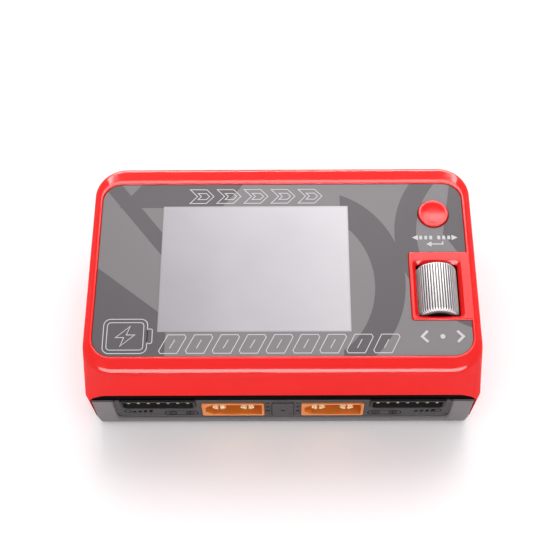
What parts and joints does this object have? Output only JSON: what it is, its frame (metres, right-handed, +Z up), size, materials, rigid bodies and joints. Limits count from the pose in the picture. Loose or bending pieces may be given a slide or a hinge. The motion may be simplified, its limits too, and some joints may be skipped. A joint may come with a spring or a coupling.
{
  "type": "balance battery charger",
  "caption": "Dual channel battery balance charger for model packs: red and dark case, display, push button, ribbed press wheel, bullet outputs, balance sockets and rear fans.",
  "frame": {"origin": "on the surface it stands on, under the middle of the case", "axes": "+X along the long side, to the right seen from the front; +Y to the rear; +Z up. The battery sockets face -Y."},
  "size_m": [0.0982, 0.059, 0.0359],
  "materials": {
    "red_plastic": "glossy moulded red",
    "dark_plastic": "fine matte texture",
    "gloss_black": "polished black",
    "plate_print": "printed two-tone grey, satin",
    "window_film": "clear, satin coated",
    "display": "lilac silver, smooth",
    "foam": "closed-cell foam",
    "ribbon": "amber ribbon",
    "board": "solder resist",
    "chip": "moulded resin",
    "button_red": "polished",
    "switch_steel": "stamped",
    "wheel_metal": "turned and ribbed",
    "black_plastic": "moulded",
    "amber_plastic": "heat-resistant nylon",
    "gold_contact": "gold plated",
    "connector_steel": "tinned",
    "white_plastic": "moulded",
    "ferrite": "sintered",
    "can_aluminium": "sleeved can",
    "heat_pad": "soft silicone",
    "sink_aluminium": "extruded",
    "copper": "bare copper alloy",
    "lead_jacket": "silicone",
    "screw_steel": "black zinc",
    "foot_rubber": "matt rubber"
  },
  "bodies": {
    "case": {"top_shell": "red_plastic", "bottom_shell": "dark_plastic", "front_strip": "gloss_black", "faceplate": "plate_print", "display_window": "window_film", "display_gasket": "foam", "display_panel": "display", "display_holder": "black_plastic", "display_flex": "ribbon", "control_board": "board", "control_chips": "chip", "buzzer": "black_plastic", "button_switch": "switch_steel", "cradle_guide_pins": "connector_steel", "roller_board": "board", "press_switch": "switch_steel", "balance_board_headers": "black_plastic", "service_cover": "dark_plastic", "service_port": "connector_steel", "input_housing": "amber_plastic", "input_contacts": "gold_contact", "usb_shell": "connector_steel", "usb_insert": "white_plastic", "power_board": "board", "power_inductors": "ferrite", "capacitors": "can_aluminium", "power_transistors": "chip", "heat_pads": "heat_pad", "current_links": "copper", "board_headers": "black_plastic", "fan_stators": "copper", "fan_plugs": "white_plastic", "fan_leads": "lead_jacket", "case_screws": "screw_steel", "control_board_screws": "screw_steel", "power_board_screws": "screw_steel", "rubber_feet": "foot_rubber", "left_output_housing": "amber_plastic", "left_output_contacts": "gold_contact", "left_balance_socket": "black_plastic", "left_balance_pins": "connector_steel", "left_balance_board": "board", "left_heat_sink": "sink_aluminium", "left_fan_frame": "black_plastic", "right_output_housing": "amber_plastic", "right_output_contacts": "gold_contact", "right_balance_socket": "black_plastic", "right_balance_pins": "connector_steel", "right_balance_board": "board", "right_heat_sink": "sink_aluminium", "right_fan_frame": "black_plastic"},
    "channel_button": {"channel_button": "button_red", "button_plunger": "black_plastic"},
    "wheel_cradle": {"wheel_cradle": "black_plastic", "wheel_sensor": "chip", "press_plunger": "black_plastic"},
    "thumb_wheel": {"wheel_sleeve": "wheel_metal", "wheel_core": "black_plastic"},
    "left_fan": {"left_fan_rotor": "black_plastic"},
    "right_fan": {"right_fan_rotor": "black_plastic"}
  },
  "joints": [
    {"name": "button_press", "type": "slide", "parent": "case", "child": "channel_button", "axis": [0, 0, -1], "range_m": [0, 0.0005], "stiffness_N_per_m": 2500, "springref_m": -0.0002},
    {"name": "wheel_press", "type": "slide", "parent": "case", "child": "wheel_cradle", "axis": [0, 0, -1], "range_m": [0, 0.0005], "stiffness_N_per_m": 3000, "springref_m": -0.0002},
    {"name": "wheel_spin", "type": "hinge", "parent": "wheel_cradle", "child": "thumb_wheel", "pos_m": [0.03815, -0.00676, 0.0309], "axis": [0, 1, 0], "continuous": true},
    {"name": "left_fan_spin", "type": "hinge", "parent": "case", "child": "left_fan", "pos_m": [-0.031, 0.0232, 0.0131], "axis": [0, 1, 0], "continuous": true},
    {"name": "right_fan_spin", "type": "hinge", "parent": "case", "child": "right_fan", "pos_m": [0.031, 0.0232, 0.0131], "axis": [0, 1, 0], "continuous": true}
  ]
}
